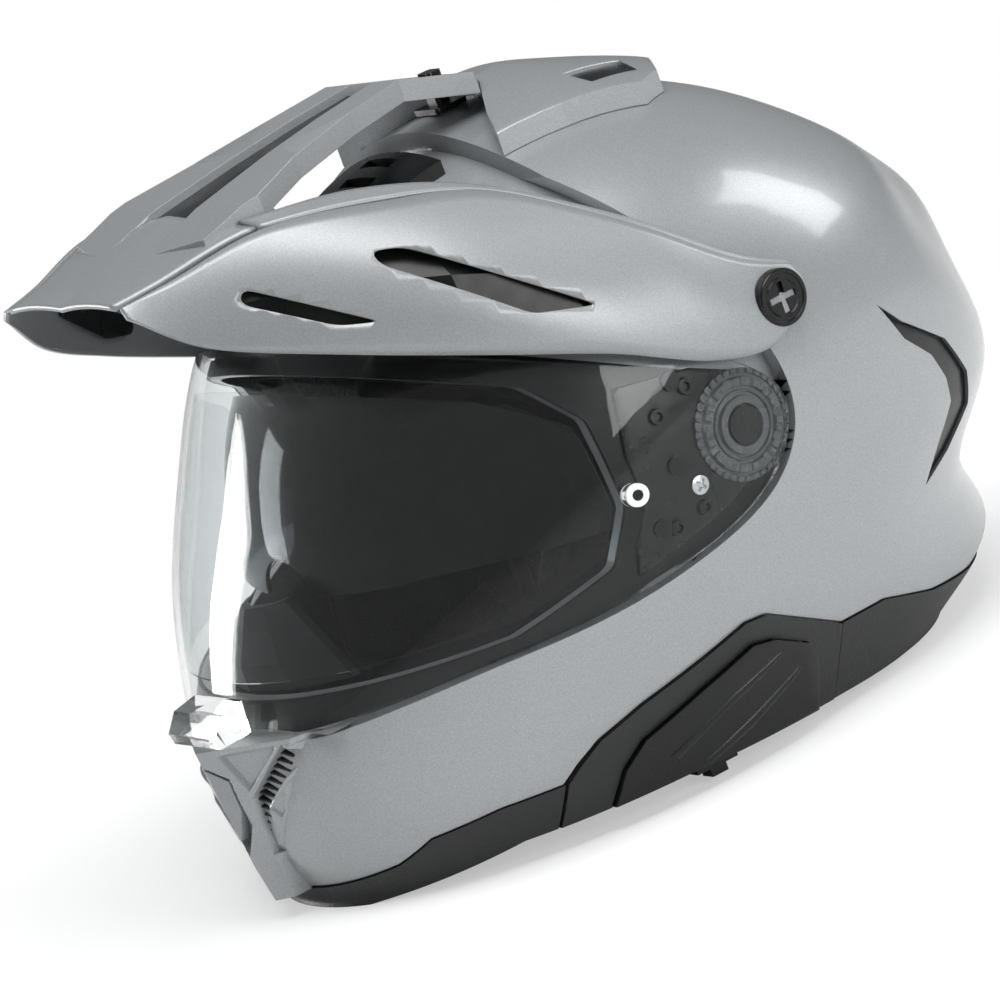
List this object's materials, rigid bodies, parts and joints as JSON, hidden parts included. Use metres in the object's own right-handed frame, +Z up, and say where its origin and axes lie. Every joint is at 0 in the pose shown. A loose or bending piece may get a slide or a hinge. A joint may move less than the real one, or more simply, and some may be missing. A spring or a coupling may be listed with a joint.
{
  "type": "dual sport helmet",
  "caption": "Full-face dual sport helmet with a peak, a turning clear visor, a drop-down inner sun visor, vents and removable padding.",
  "frame": {"origin": "on the ground, under the middle of the helmet", "axes": "+Z up, the helmet faces -Y, the wearer's left is +X"},
  "size_m": [0.257, 0.351, 0.2565],
  "materials": {
    "gloss_paint": "gloss",
    "satin_paint": "satin",
    "black_plastic": "satin",
    "grey_plastic": "satin",
    "white_plastic": "gloss",
    "textured_trim": "fine texture",
    "black_rubber": "matte",
    "clear_visor": "clear",
    "inner_lens": "clear",
    "smoke_visor": "smoke tint",
    "black_fabric": "knitted",
    "webbing": "woven",
    "foam": "moulded bead foam",
    "steel": "zinc plated"
  },
  "bodies": {
    "helmet": {"outer_shell": "gloss_paint", "eps_liner": "foam", "crown_pad": "black_fabric", "cheek_pad_left": "black_fabric", "cheek_pad_right": "black_fabric", "neck_roll": "black_fabric", "eye_port_gasket": "black_rubber", "visor_base_plate_left": "black_plastic", "visor_base_plate_right": "black_plastic", "base_plate_screws_left": "steel", "base_plate_screws_right": "steel", "visor_hub_left": "black_plastic", "visor_hub_right": "black_plastic", "sun_visor_bracket_left": "black_plastic", "sun_visor_bracket_right": "black_plastic", "front_rim_trim": "textured_trim", "rear_rim_trim": "textured_trim", "intercom_frame_left": "textured_trim", "intercom_frame_right": "textured_trim", "rear_vent_left": "black_plastic", "rear_vent_right": "black_plastic", "crown_vent_housing": "gloss_paint", "exhaust_insert_left": "black_plastic", "exhaust_insert_right": "black_plastic", "crown_vent_grille": "black_plastic", "peak_shell": "satin_paint", "peak_insert_left": "black_plastic", "peak_insert_right": "black_plastic", "peak_bridge": "satin_paint", "peak_channel": "black_plastic", "chin_vent_housing": "gloss_paint", "chin_vent_grille": "black_plastic", "breath_deflector": "black_rubber", "chin_curtain": "black_fabric", "chin_strap_left": "webbing", "chin_strap_right": "webbing", "d_rings": "steel", "strap_anchor_left": "steel", "strap_anchor_right": "steel"},
    "visor": {"visor_shield": "clear_visor", "pinlock_lens": "inner_lens", "pinlock_pins": "white_plastic", "visor_tab": "clear_visor", "visor_gear_left": "grey_plastic", "visor_gear_right": "grey_plastic"},
    "inner_visor": {"sun_visor": "smoke_visor"},
    "inner_visor_lever": {"sun_visor_lever": "black_plastic"},
    "left_peak_screw": {"peak_screw_left": "black_plastic"},
    "right_peak_screw": {"peak_screw_right": "black_plastic"},
    "chin_slider": {"chin_vent_slider": "satin_paint"},
    "crown_slider": {"crown_vent_slider": "black_plastic"},
    "left_cover": {"intercom_cover_left": "black_plastic"},
    "right_cover": {"intercom_cover_right": "black_plastic"}
  },
  "joints": [
    {"name": "visor_hinge", "type": "hinge", "parent": "helmet", "child": "visor", "pos_m": [0, 0.003, 0.1165], "axis": [-1, 0, 0], "range_deg": [0, 45]},
    {"name": "inner_visor_hinge", "type": "hinge", "parent": "helmet", "child": "inner_visor", "pos_m": [0, -0.01, 0.104], "axis": [-1, 0, 0], "range_deg": [0, 45]},
    {"name": "inner_visor_slide", "type": "slide", "parent": "helmet", "child": "inner_visor_lever", "axis": [0, 0.999, -0.0445], "range_m": [0, 0.024]},
    {"name": "left_peak_screw_turn", "type": "hinge", "parent": "helmet", "child": "left_peak_screw", "pos_m": [0.12, 0.03, 0.152], "axis": [1, 0, 0], "range_deg": [0, 90]},
    {"name": "right_peak_screw_turn", "type": "hinge", "parent": "helmet", "child": "right_peak_screw", "pos_m": [-0.12, 0.03, 0.152], "axis": [-1, 0, 0], "range_deg": [0, 90]},
    {"name": "chin_vent_slide", "type": "slide", "parent": "helmet", "child": "chin_slider", "axis": [0, 0, -1], "range_m": [0, 0.005]},
    {"name": "crown_vent_slide", "type": "slide", "parent": "helmet", "child": "crown_slider", "axis": [0, -1, 0], "range_m": [0, 0.006]},
    {"name": "left_cover_slide", "type": "slide", "parent": "helmet", "child": "left_cover", "axis": [1, 0, 0], "range_m": [0, 0.012]},
    {"name": "right_cover_slide", "type": "slide", "parent": "helmet", "child": "right_cover", "axis": [-1, 0, 0], "range_m": [0, 0.012]}
  ],
  "couplings": [
    {"joint": "inner_visor_slide", "follows": "inner_visor_hinge", "m_per_rad": 0.028}
  ]
}
